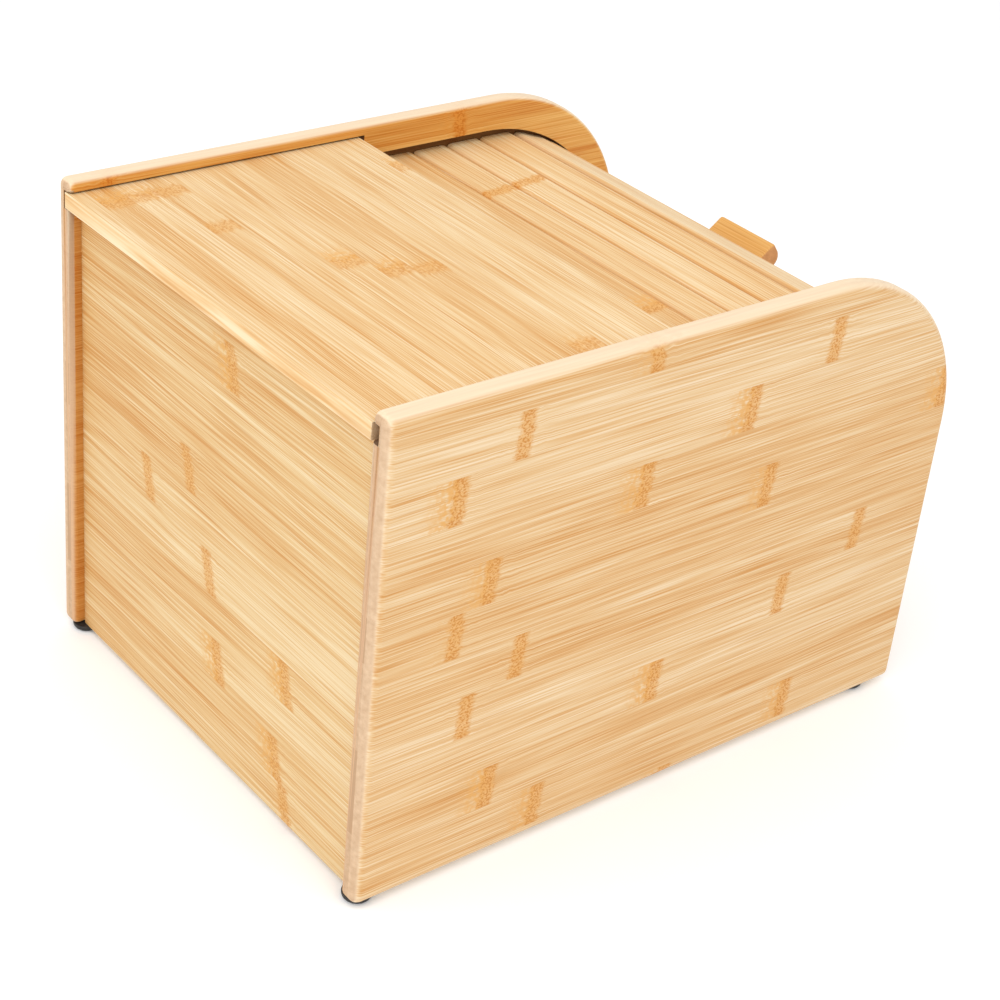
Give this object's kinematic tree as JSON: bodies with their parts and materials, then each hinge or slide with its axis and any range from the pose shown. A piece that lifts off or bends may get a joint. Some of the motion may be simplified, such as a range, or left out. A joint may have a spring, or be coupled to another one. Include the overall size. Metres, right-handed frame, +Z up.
{
  "type": "roll-top bread box",
  "caption": "Bamboo bread box with a roll-top lid of flat slats that runs in curved grooves in the side panels, with a block knob and rubber feet.",
  "frame": {"origin": "middle of the footprint, on the surface that the feet stand on", "axes": "+X to the right, +Y from the lid at the front to the back panel, +Z up"},
  "size_m": [0.225, 0.29, 0.211],
  "materials": {
    "panel_bamboo": "satin lacquer",
    "board_bamboo": "satin lacquer",
    "slat_bamboo": "satin lacquer",
    "knob_bamboo": "satin lacquer",
    "dowel_wood": "bare",
    "canvas": "plain weave cotton",
    "foot_rubber": "matt",
    "screw_steel": "zinc plated"
  },
  "bodies": {
    "carcass": {"side_panel_left": "panel_bamboo", "side_panel_right": "panel_bamboo", "top_board": "board_bamboo", "back_panel": "board_bamboo", "bottom_board": "board_bamboo", "bottom_dowels_left": "dowel_wood", "bottom_dowels_right": "dowel_wood", "back_dowels_left": "dowel_wood", "back_dowels_right": "dowel_wood", "back_joint_dowels": "dowel_wood", "foot_front_left": "foot_rubber", "foot_front_right": "foot_rubber", "foot_rear_left": "foot_rubber", "foot_rear_right": "foot_rubber"},
    "front_section": {"lead_rail": "slat_bamboo", "slat_01": "slat_bamboo", "slat_02": "slat_bamboo", "slat_03": "slat_bamboo", "slat_04": "slat_bamboo", "slat_05": "slat_bamboo", "canvas_front": "canvas"},
    "bend_section": {"slat_06": "slat_bamboo", "slat_07": "slat_bamboo", "slat_08": "slat_bamboo", "slat_09": "slat_bamboo", "slat_10": "slat_bamboo", "canvas_bend": "canvas", "knob": "knob_bamboo", "knob_screws": "screw_steel"},
    "top_section": {"slat_11": "slat_bamboo", "slat_12": "slat_bamboo", "slat_13": "slat_bamboo", "slat_14": "slat_bamboo", "slat_15": "slat_bamboo", "slat_16": "slat_bamboo", "canvas_top": "canvas"}
  },
  "joints": [
    {"name": "bend_turn", "type": "hinge", "parent": "carcass", "child": "bend_section", "pos_m": [0, -0.06964, 0.12904], "axis": [-1, 0, 0], "range_deg": [0, 18]},
    {"name": "front_lift", "type": "slide", "parent": "carcass", "child": "front_section", "axis": [0, 0, 1], "range_m": [0, 0.0182]},
    {"name": "top_slide", "type": "slide", "parent": "carcass", "child": "top_section", "axis": [0, 1, 0], "range_m": [0, 0.0182]}
  ],
  "couplings": [
    {"joint": "front_lift", "follows": "bend_turn", "m_per_rad": 0.05793},
    {"joint": "top_slide", "follows": "bend_turn", "m_per_rad": 0.05793}
  ]
}
